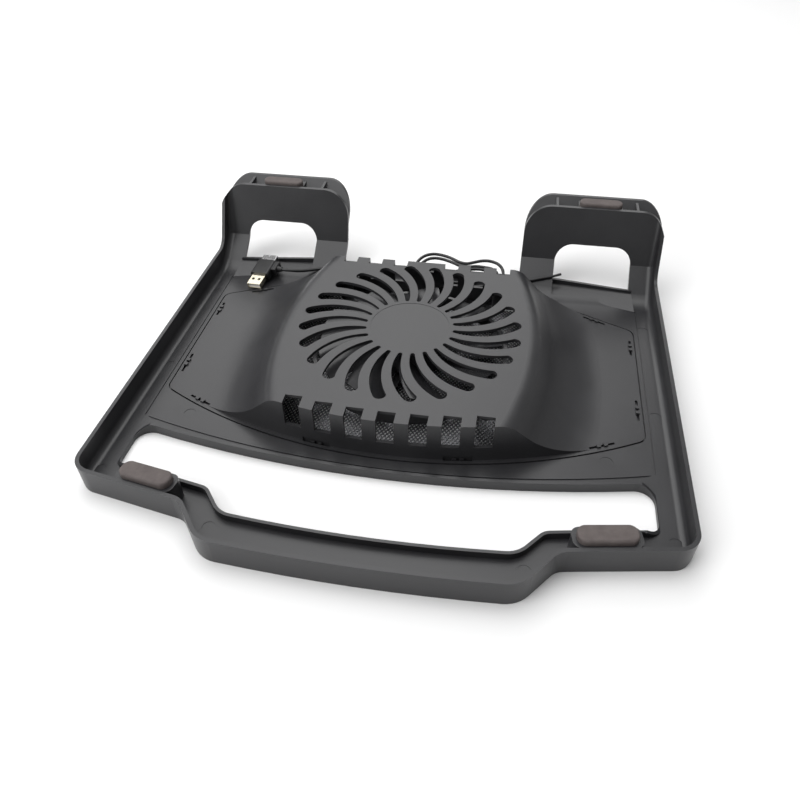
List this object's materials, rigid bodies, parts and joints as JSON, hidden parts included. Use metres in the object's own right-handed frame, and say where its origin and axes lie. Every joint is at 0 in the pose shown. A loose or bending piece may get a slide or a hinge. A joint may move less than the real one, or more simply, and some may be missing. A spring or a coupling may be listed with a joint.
{
  "type": "laptop cooling pad",
  "caption": "Black plastic laptop cooling pad lying on its laptop face: shallow ribbed tray with raised rear legs, domed fan cover, large fan, rubber feet and a tied-up USB lead.",
  "frame": {"origin": "on the fan's axis, in the plane of the face that the laptop rests on", "axes": "+X along the pad's width, +Y towards the two rear legs, +Z away from the laptop, up through the fan cover to the feet; the pad lies on its laptop face as in the picture and is turned over about X for use"},
  "size_m": [0.36, 0.3485, 0.064],
  "materials": {
    "shell_plastic": "satin",
    "cover_plastic": "satin",
    "mesh_steel": "satin",
    "foot_rubber": "matte",
    "fan_plastic": "satin",
    "rotor_steel": "satin",
    "magnet_rubber": "matte",
    "shaft_steel": "polished",
    "sleeve_brass": "satin",
    "nylon_plastic": "matte",
    "core_steel": "satin",
    "winding_copper": "enamelled",
    "board_laminate": "satin",
    "screw_steel": "zinc plated",
    "lead_vinyl": "matte",
    "grommet_rubber": "matte",
    "tie_vinyl": "satin",
    "plug_vinyl": "satin",
    "plug_metal": "nickel plated",
    "socket_metal": "nickel plated",
    "tongue_plastic": "satin"
  },
  "bodies": {
    "pad": {"top_shell": "shell_plastic", "bottom_cover": "cover_plastic", "mesh_panel": "mesh_steel", "foot_front_left": "foot_rubber", "foot_front_right": "foot_rubber", "foot_rear_left": "foot_rubber", "foot_rear_right": "foot_rubber", "fan_frame": "fan_plastic", "bearing_sleeve": "sleeve_brass", "thrust_pad": "nylon_plastic", "stator_core": "core_steel", "stator_windings": "winding_copper", "fan_circuit_board": "board_laminate", "fan_screws": "screw_steel", "fan_lead": "lead_vinyl", "cable_grommet": "grommet_rubber", "usb_cord": "lead_vinyl", "usb_cord_tail": "lead_vinyl", "usb_cord_hank": "lead_vinyl", "cable_tie": "tie_vinyl", "plug_overmould": "plug_vinyl", "plug_shell": "plug_metal", "plug_tongue": "tongue_plastic", "socket_shell": "socket_metal", "socket_tongue": "tongue_plastic"},
    "rotor": {"impeller": "fan_plastic", "rotor_cup": "rotor_steel", "magnet_ring": "magnet_rubber", "shaft": "shaft_steel", "shaft_clip": "nylon_plastic"}
  },
  "joints": [
    {"name": "impeller_spin", "type": "hinge", "parent": "pad", "child": "rotor", "pos_m": [0, 0, 0.015], "axis": [0, 0, 1], "continuous": true}
  ]
}
